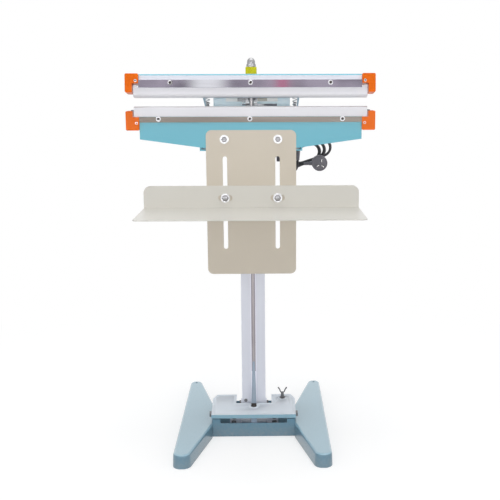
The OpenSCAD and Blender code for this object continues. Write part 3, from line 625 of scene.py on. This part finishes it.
# The channel's inner walls are lighter and glow faintly: painted light that stands in for
# the light coming in along the slot.
glowing_inside = enamel("white_inside_painted_glow", linear(247, 247, 250), 0.01, (0.4, 0.5))
set_inputs(surface_of(glowing_inside), Emission_Color=linear(236, 236, 245),
           Emission_Strength=0.21)


def inner_wall(middle, normal):
    """The channel's walls that look towards a line inside it."""
    inward = (middle - COLUMN_INSIDE) * Vector((1, 1, 0))
    return middle.y > column_front + 1 and inward.dot(normal) < 0 and abs(normal.z) < 0.5


finish_some(dress("column", white, 0.9), glowing_inside, inner_wall)
dress("column_brackets", white, 0.4)
dress("column_top_plate", white, 0.5)

# ---------------------------------------------------------------- head frame and jaws
# Folded sheet head, side arms and hollow jaws. The lower jaw and the frame are a stronger
# blue-green, and the arms stand open at rest on their springs.
HINGE = Vector((0, 68, 775)) * mm
JAW_GAP, JAW_REACH = 21.5, 157
OPEN = 2 * math.asin(JAW_GAP / (2 * JAW_REACH))
JAWS_OPEN = (Matrix.Translation(HINGE) @ Matrix.Rotation(-OPEN, 4, "X")
             @ Matrix.Translation(-HINGE))
teal = enamel("blue_green_enamel", linear(100, 181, 200), 0.02, (0.3, 0.4))
pale = enamel("light_blue_enamel", linear(206, 226, 240), 0.02, (0.26, 0.36))
for node, finish in (("head_frame", teal), ("lower_beam", teal),
                     ("arm_left", pale), ("arm_right", pale)):
    dress(node, finish, 0.5)

# The upper beam's face above the strip is painted white, a painted reflection of the lamp
# above in its glossy coat, and its rounded edge darker blue-green, a painted line of shade.
front_up = Vector((0, -math.cos(OPEN), math.sin(OPEN)))
upper_beam = dress("upper_beam", pale, 0.5)
finish_some(upper_beam, white, lambda middle, normal: normal.dot(front_up) > 0.95)
finish_some(upper_beam, teal, lambda middle, normal: 0.35 < normal.dot(front_up) <= 0.95)

# End caps: glossy orange mouldings with fine flow marks, pushed over the beams' ends.
orange = stuff("orange_moulding", linear(238, 108, 0), 0.4, (0.05, 30), (500, 0.04),
               rough=(0.28, 0.38), Specular_IOR_Level=0.2)
for node in ("lower_end_caps", "upper_end_caps"):
    dress(node, orange, 0.6)

# Clamp strips: drawn metal flats with long fine lines, the upper one polished.
dress("lower_clamp_strip", stuff(
    "drawn_aluminium", (0.185, 0.167, 0.149, 1), 0.42, (0.14, 60, (0.04, 1, 1)),
    (700, 0.04, (0.02, 1, 1)), metallic=1.0, rough=(0.34, 0.5)), 0.3)
dress("upper_clamp_strip", stuff(
    "polished_strip", (0.78, 0.77, 0.80, 1), 0.08, (0.05, 40, (0.1, 1, 1)),
    (300, 0.01, (0.05, 1, 1)), metallic=1.0, rough=(0.04, 0.09)), 0.3)
nickel = plated("nickel_plate", 0.36, (0.34, 0.48))
dress("cap_nut", nickel, 0.3)

# Socket screws with bright washers, their sockets painted dark: painted shade in the
# hollow. A small one holds each cap, beside the clamp strip's end.
CAP_SCREW_X = 256
UPPER_SCREW_Z, LOWER_SCREW_Z = 851, 757
painted_hollow_shade = stuff("socket_painted_shade", linear(52, 44, 40), 0.4, (0.2, 300), (900, 0.03))
washer = plated("bright_washer", 0.70, (0.38, 0.5))


def near_any(middle, seats, reach):
    """Whether a point is within reach mm of a fore-and-aft line through one of the seats."""
    return any(math.hypot(middle.x - seat.x, middle.z - seat.z) < reach for seat in seats)


for first, caps, body, height in ((1, "upper_end_caps", "arms", UPPER_SCREW_Z),
                                  (3, "lower_end_caps", "stand", LOWER_SCREW_Z)):
    for number, x in ((first, -CAP_SCREW_X), (first + 1, CAP_SCREW_X)):
        seat_at = Vector((x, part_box(caps)[0].y / mm, height))
        screw = bar(f"cap_screw_{number}", 3.0, seat_at + Vector((0, 1.2, 0)),
                    seat_at - Vector((0, 0.5, 0)), sides=24)
        inset(screw, facing_front, (1.0, 0), (0.2, -0.6))
        ease_edges(screw, 0.15)
        carry(screw, body, washer)
        finish_some(screw, painted_hollow_shade, lambda middle, normal: near_any(middle, [seat_at], 1.9))

for node, seats in (
    ("lower_strip_screws", [Vector((x, -86, 766)) for x in (-207, -2, 206)]),
    ("upper_strip_screws",
     [JAWS_OPEN @ (Vector((x, -91.5, 825)) * mm) / mm for x in (-179, 0, 179)]),
):
    screws = dress(node, washer, 0.15)
    finish_some(screws, painted_hollow_shade, lambda middle, normal: any(
        (middle - seat_at).length < 3.4 and middle.y < seat_at.y - 0.9 for seat_at in seats))

# Heat-proof cloths: glass weave coated in white fluoropolymer, stretched over the
# heating element below and the rubber pad above, and held by the clamp strips.
CLOTH_HALF = 262
CLOTH_THICK = 0.35
CLOTH_COLUMNS = 130
STRIP_END = 250.5
WANDER = 0.35
cloth_colour = linear(231, 230, 235)
cloth = shader("coated_glass_cloth", cloth_colour, 0.34, Sheen_Weight=0.2)
mottle(cloth, cloth_colour, 0.03, 25, (0.3, 1, 1))
weave = cloth.node_tree
weave_at = add(weave, "TexCoord")
weave_sum = add(weave, "Math", operation="ADD")
weave_bump = add(weave, "Bump", Strength=0.35, Distance=0.06 * mm)
for number, way in enumerate("XY"):
    threads = add(weave, "TexWave", Scale=260)
    threads.bands_direction = way
    wire(weave, (weave_at, "UV", threads, "Vector"), (threads, "Fac", weave_sum, number))
wire(weave, (weave_sum, 0, weave_bump, "Height"),
     (weave_bump, "Normal", surface_of(cloth), "Normal"))


def curve_of(points):
    """A rounder profile through the points: each corner is cut twice."""
    for _ in range(2):
        cut = [points[0]]
        for a, b in zip(points, points[1:]):
            cut.append(tuple(p * 0.78 + q * 0.22 for p, q in zip(a, b)))
            cut.append(tuple(p * 0.22 + q * 0.78 for p, q in zip(a, b)))
        points = cut + [points[-1]]
    return points


def strip_cloth(node, points, phase, turn=None, top_reach=0):
    """A cloth whose cross-section follows points in Y and Z, mm, over the jaw's length.

    Its free run wanders a little in waves of a given phase, and top_reach is how much
    higher it stands past the ends of the clamp strip.
    """
    profile = curve_of(points)
    rows = len(profile) - 1
    length = sum(math.dist(a, b) for a, b in zip(profile, profile[1:]))
    bpy.ops.object.select_all(action="DESELECT")
    bpy.ops.mesh.primitive_grid_add(x_subdivisions=CLOTH_COLUMNS, y_subdivisions=rows, size=1)
    piece = bpy.context.active_object
    piece.name = node + "_made"
    bpy.ops.object.transform_apply(location=True, rotation=True, scale=True)
    for vertex in piece.data.vertices:
        row = round((vertex.co.y + 0.5) * rows)
        x = vertex.co.x * 2 * CLOTH_HALF
        y, z = profile[row]
        shift = WANDER * math.sin(math.pi * row / rows) * (
            math.sin(x / 41 + phase) * 0.6 + math.sin(x / 17 + 2.3 * phase) * 0.25
            + math.sin(x / 7.3 + 0.7 * phase) * 0.15)
        if row == 0 and abs(x) > STRIP_END:
            z += top_reach
        vertex.co = Vector((x, y - abs(shift), z)) * mm
    for loop in piece.data.uv_layers.active.data:
        loop.uv = (loop.uv[0] * 2 * CLOTH_HALF * mm, loop.uv[1] * length * mm)
    if turn:
        piece.data.transform(turn)
    thick = piece.modifiers.new("thickness", "SOLIDIFY")
    thick.thickness = CLOTH_THICK * mm
    thick.offset = 0
    only(piece)
    bpy.ops.object.modifier_apply(modifier=thick.name)
    smooth(piece, 50)
    seat(piece, node, cloth)


strip_cloth("lower_cloth", [
    (-83.3, 771), (-83.35, 778), (-83.4, 786), (-83.3, 791.6), (-81.6, 793.35), (-76, 793.4),
    (-66, 793.4), (-58, 793.4), (-56, 792.6), (-55.6, 788),
], 0.4)
strip_cloth("upper_cloth", [
    (-88.3, 813.8), (-88.45, 806), (-88.3, 798.2), (-84.3, 794.5), (-76, 794.45),
    (-66, 794.45), (-60, 794.5), (-57.7, 798), (-57.7, 801.8),
], 1.7, turn=JAWS_OPEN, top_reach=6.4)

# Under the cloths: a moulded rubber pad above, an insulating strip and the flat
# resistance wire below.
dress("silicone_pad", stuff("silicone_rubber", linear(178, 92, 66), 0.6, (0.08, 30),
                            (400, 0.06)), 0.3)
dress("insulating_strip", stuff("insulating_board", linear(120, 84, 58), 0.65,
                                (0.15, 60, (0.2, 1, 1)), (600, 0.05)), 0.2)
dress("heating_element", stuff("resistance_metal", (0.5, 0.47, 0.43, 1), 0.35, (0.12, 50),
                               (800, 0.02, (0.03, 1, 1)), metallic=1.0), 0.05)

# ---------------------------------------------------------------- backing plate and shelf
# The plate is 2 mm steel in a warm grey-beige powder coat, and the shelf is folded from
# the same sheet and coated paler. Hexagon bolts on washers hold the plate to the frame
# and clamp the shelf in the plate's slots.
SHADOW_RING_R, HEAD_R, FACE_R, SOCKET_R = 7.2, 4.6, 3.9, 2.6
HEAD_DEEP, HEAD_LINE = 4, -88
beige = enamel("warm_grey_coat", linear(205, 195, 179), 0.02, (0.34, 0.44))
dress("backing_plate", beige, 0.35)
dress("shelf", enamel("pale_grey_coat", linear(212, 209, 201), 0.02, (0.32, 0.42)), 0.35)
for node, bolt_x, bolt_z in (("plate_bolts", 60.5, 720.4), ("shelf_bolts", 59.7, 587.5)):
    seats = [Vector((side * bolt_x, 0, bolt_z)) for side in (-1, 1)]
    bolts = dress(node, washer, 0.4)
    head_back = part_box(node)[0].y / mm + HEAD_DEEP
    inset(bolts, lambda middle, normal, face: middle.y < head_back and normal.y < -0.95
          and near_any(middle, seats, HEAD_R), (1.2, 0.2))
    # Each head's sides are painted dark: a painted shadow ring round the head.
    finish_some(bolts, dark_zinc_and_shade, lambda middle, normal: middle.y < head_back
                and near_any(middle, seats, SHADOW_RING_R))
    finish_some(bolts, nickel, lambda middle, normal: middle.y < head_back
                and normal.y < -0.95 and near_any(middle, seats, FACE_R))
    # The socket's walls are painted dark: painted shade in the hollow.
    finish_some(bolts, painted_hollow_shade, lambda middle, normal: middle.y < HEAD_LINE
                and normal.y > -0.5 and near_any(middle, seats, SOCKET_R))

# ---------------------------------------------------------------- rear housing
# Folded cover with rounded top corners over the transformer, with the fuse at its back
# and the rocker, lamp and timer on its top. A cream panel is set high on its front.
housing_front_light = enamel("housing_front_painted_light", linear(234, 248, 255), 0.02, (0.26, 0.36))
housing_coat = enamel("housing_enamel", linear(190, 212, 228), 0.02, (0.26, 0.36))
housing = dress("rear_housing", housing_coat, 0.4)
# The housing's forward faces take a lighter copy of its enamel: painted light where the beam and
# jaws shade them.
finish_some(housing, housing_front_light, lambda middle, normal: normal.y < -0.9 and middle.y < 70)
cream = enamel("cream_coat", linear(254, 252, 248), 0.01, (0.3, 0.4))
panel = block("housing_panel", (-62.5, 65.2, 801.6), (62.5, 66.0, 844))
inset(panel, facing_front, (1.6, 0), (0.5, -0.3))
ease_edges(panel, 0.25)
carry(panel, "stand", cream)
dress("transformer", stuff("varnished_core", linear(62, 60, 64), 0.5, (0.2, 50, (1, 6, 1)),
                           (300, 0.1, (1, 8, 1))), 0.4)
for node in ("fuse_holder", "timer_knob", "power_rocker", "micro_switch"):
    dress(node, black_plastic)
bracket = dress("switch_bracket", nickel, 0.3)
finish_some(bracket, black_plastic, lambda middle, normal: middle.x > 28)

# The switch's head and its lever stand before the bracket, between two spade terminals.
for name, low, high, finish, slot in (
    ("switch_head", (-8, 22.5, 806), (11, 28, 814), black_plastic, "black_plastic"),
    ("switch_lever", (-22, 25.6, 799.2), (13, 28, 802), washer, "zinc"),
    ("switch_lever_foot", (-22, 25.6, 794.6), (-4, 28, 797), black_plastic, "black_plastic"),
    ("terminal_left", (-33, 28, 803.5), (-14, 29.4, 810.5), dark_zinc_and_shade, "zinc"),
    ("terminal_right", (14, 28, 804), (37, 29.4, 811), beige, "zinc"),
):
    piece = block(name, low, high)
    inset(piece, facing_front, (0.6, 0.25))
    ease_edges(piece, 0.3)
    carry(piece, "stand", finish)
dress("pilot_lamp", stuff("red_lens", linear(196, 34, 28), 0.15, (0.1, 80), (400, 0.03),
                          Transmission_Weight=0.3), 0.2)

# ---------------------------------------------------------------- springs
# Cold-wound spring wire, drawn bright: two light ones lift the arms, each on a guide
# pin, and a stiff one on the pull rod sets the sealing pressure.
RETURN_X, RETURN_Y = 101, -10
steel = stuff("spring_wire", (0.55, 0.56, 0.58, 1), 0.28, (0.1, 120), (900, 0.02),
              metallic=1.0, rough=(0.22, 0.36))


def coil(node, x, y, mean, wire_r, turns):
    """A coil spring in a node's place, its wire swept by the screw modifier, in mm."""
    low, high = (corner.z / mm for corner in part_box(node))
    bpy.ops.object.select_all(action="DESELECT")
    bpy.ops.mesh.primitive_circle_add(
        vertices=12, radius=wire_r * mm, fill_type="NOTHING", rotation=(math.pi / 2, 0, 0),
        location=(mean * mm, 0, 0))
    piece = bpy.context.active_object
    piece.name = node + "_made"
    bpy.ops.object.transform_apply(location=True, rotation=True, scale=True)
    wind = piece.modifiers.new("wind", "SCREW")
    wind.angle = 2 * math.pi * turns
    wind.screw_offset = (high - low - 2 * wire_r) * mm
    wind.steps = wind.render_steps = 28 * turns
    wind.use_merge_vertices = False
    only(piece)
    bpy.ops.object.modifier_apply(modifier=wind.name)
    bpy.ops.object.mode_set(mode="EDIT")
    bpy.ops.mesh.select_mode(type="EDGE")
    bpy.ops.mesh.select_all(action="DESELECT")
    bpy.ops.mesh.select_non_manifold()
    bpy.ops.mesh.fill_holes(sides=0)
    bpy.ops.mesh.select_all(action="SELECT")
    bpy.ops.mesh.normals_make_consistent(inside=False)
    done()
    piece.data.transform(Matrix.Translation(Vector((x, y, low + wire_r)) * mm))
    smooth(piece, 50)
    seat(piece, node, steel)
    return piece


for side, word in ((-1, "left"), (1, "right")):
    node = "return_spring_" + word
    low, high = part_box(node)
    foot = Vector((side * RETURN_X, RETURN_Y, low.z / mm))
    spring = coil(node, foot.x, foot.y, 4.6, 0.9, 4)
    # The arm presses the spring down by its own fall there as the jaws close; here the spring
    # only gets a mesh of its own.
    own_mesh(spring)
    # The dark guide pin fills the space behind the coils: a dark piece that stands in for the
    # shade behind the spring.
    pin = bar("pin_of_return_spring_" + word, 3.0, foot - Vector((0, 0, 0.5)),
              foot + Vector((0, 0, 17.5)))
    inset(pin, facing_up, (0.8, 0.6))
    ease_edges(pin, 0.2)
    carry(pin, "stand", dark_zinc_and_shade)
coil("pressure_spring", 0, 12, 7.2, 1.0, 3)

# ---------------------------------------------------------------- pull rod
# Ground steel rod with a painted flat crank at its foot, in a brass bush, and a clear
# yellow hexagon knob and a domed nut on top.
CRANK_TAPER, TAPER_FOOT, TAPER_RISE = 0.55, 70 * mm, 98 * mm
CRANK_SHADED = 66
dress("pull_rod", stuff("oiled_rod", (0.45, 0.42, 0.42, 1), 0.35, (0.18, 20, (1, 1, 0.3)),
                        (900, 0.02), metallic=1.0, rough=(0.28, 0.42)), 0.3)
dress("spring_rocker", zinc, 0.2)
dress("arm_cross_bar", plated("dull_zinc", 0.34, (0.46, 0.6)), 0.4)
crank = dress("rod_crank", enamel("grey_blue_coat", linear(160, 174, 190), 0.08, (0.3, 0.4)),
              0.4)
# The crank's lowest part is painted dark: painted shade at its foot, where it meets the pedal.
cut_across(crank, (0, 0, 1), CRANK_SHADED)
for vertex in crank.data.vertices:
    rise = min(1.0, max(0.0, (vertex.co.z - TAPER_FOOT) / TAPER_RISE))
    vertex.co.x *= 1 - CRANK_TAPER * rise
finish_some(crank, painted_hollow_shade, lambda middle, normal: middle.z < CRANK_SHADED)
dress("rod_bush", stuff("turned_brass", (0.66, 0.47, 0.20, 1), 0.3, (0.1, 60), (800, 0.03),
                        metallic=1.0), 0.2)
dress("pressure_knob", stuff(
    "yellow_acrylic", linear(220, 216, 2), 0.22, (0.08, 60, (1, 1, 0.2)), (300, 0.04),
    rough=(0.12, 0.22), Specular_IOR_Level=0.3), 0.5)

# ---------------------------------------------------------------- pedal
# Folded steel pedal, enamelled like the base, with a pressed groove that follows the edge of
# its tread. Its upward faces are painted pale: painted light from above.
PEDAL_HINGE = Vector((0, -40, 50)) * mm
PEDAL_TILT = math.radians(8)
TREAD_AREA = 0.002
lit_tread = enamel("pedal_top_painted_light", linear(233, 240, 248), 0.02, (0.34, 0.46))
pedal = dress("pedal", enamel("pedal_enamel", linear(148, 190, 208), 0.03), 0.5)
pedal_up = Vector((0, -math.sin(PEDAL_TILT), math.cos(PEDAL_TILT)))
inset(pedal, lambda middle, normal, face: normal.dot(pedal_up) > 0.99 and middle.z > 52
      and face.calc_area() > TREAD_AREA, (6, 0), (0.7, -0.5), (0.7, 0.5))
finish_some(pedal, lit_tread, lambda middle, normal: normal.dot(pedal_up) > 0.5 and middle.z > 52)

# Wing bolt that stops the pedal: a plain shank, a washer, a boss and two curved wings,
# drawn upright and then tilted with the pedal.
STOP_X, STOP_Y, STOP_SEAT = 71.3, 62.8, 9.9
WING_LINE = [(1.6, 13.5), (4.8, 17.2), (7.2, 23.5), (10.8, 28.6)]


def on_stop(along, up):
    """A place beside and above the seat of the wing bolt, in mm."""
    return Vector((STOP_X + along, STOP_Y, STOP_SEAT + up))


stop_parts = [
    bar("stop_bolt_made", 3.0, on_stop(0, -47.4), on_stop(0, 3)),
    bar("stop_washer", 7.0, on_stop(0, 0.3), on_stop(0, 1.8), sides=48),
    bar("stop_boss", 4.4, on_stop(0, 1.8), on_stop(0, 16), sides=40, top=3.0),
]
for piece in stop_parts:
    ease_edges(piece, 0.35)
for side in (-1, 1):
    wing_curve, wing_line = tube("stop_wing", 3.4 * mm, "BEZIER", len(WING_LINE))
    for knot, (x, z) in zip(wing_line.bezier_points, WING_LINE):
        knot.co = on_stop(side * x, z) * mm
        knot.handle_left_type = knot.handle_right_type = "AUTO"
        knot.radius = 1.15 if (x, z) == WING_LINE[-1] else 0.9
    wing = bpy.data.objects.new("stop_wing", wing_curve)
    link(wing)
    only(wing)
    bpy.ops.object.convert(target="MESH")
    wing = bpy.context.active_object
    edit(wing, "SELECT")
    bpy.ops.mesh.remove_doubles(threshold=0.01 * mm)
    bpy.ops.mesh.normals_make_consistent(inside=False)
    done()
    ease_edges(wing, 0.5)
    stop_parts.append(wing)
only(*stop_parts)
bpy.ops.object.join()
stop_bolt = bpy.context.active_object
stop_bolt.data.transform(Matrix.Translation(PEDAL_HINGE) @ Matrix.Rotation(PEDAL_TILT, 4, "X"))
smooth(stop_bolt, 40)
seat(stop_bolt, "stop_bolt", dark_zinc_and_shade)

# ---------------------------------------------------------------- screws and gland
# Screws on the lower caps clamp the ends of the flat heating wire, and a ribbed cable
# gland under the frame leads the machine's wires down into the column.
caps_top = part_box("lower_end_caps")[1].z / mm
for side, word in ((-1, "left"), (1, "right")):
    foot = Vector((side * 266, -76, caps_top))
    screw = bar(f"element_screw_{word}", 3.2, foot - Vector((0, 0, 0.6)),
                foot + Vector((0, 0, 2.2)))
    inset(screw, facing_up, (1.2, 0.2))
    ease_edges(screw, 0.3)
    carry(screw, "stand", dark_zinc_and_shade)

gland = bar("cable_gland", 6.6, (64.5, 20, 694), (64.5, 20, 661.5), sides=40, top=5.6)
cut_across(gland, (0, 0, 1), 690, 687, 684, 681, 678, 675)
inset(gland, lambda middle, normal, face: any(
    low < middle.z < low + 3 for low in (687, 681, 675)), (0.2, -0.7))
smooth(gland, 50)
carry(gland, "stand", black_plastic)
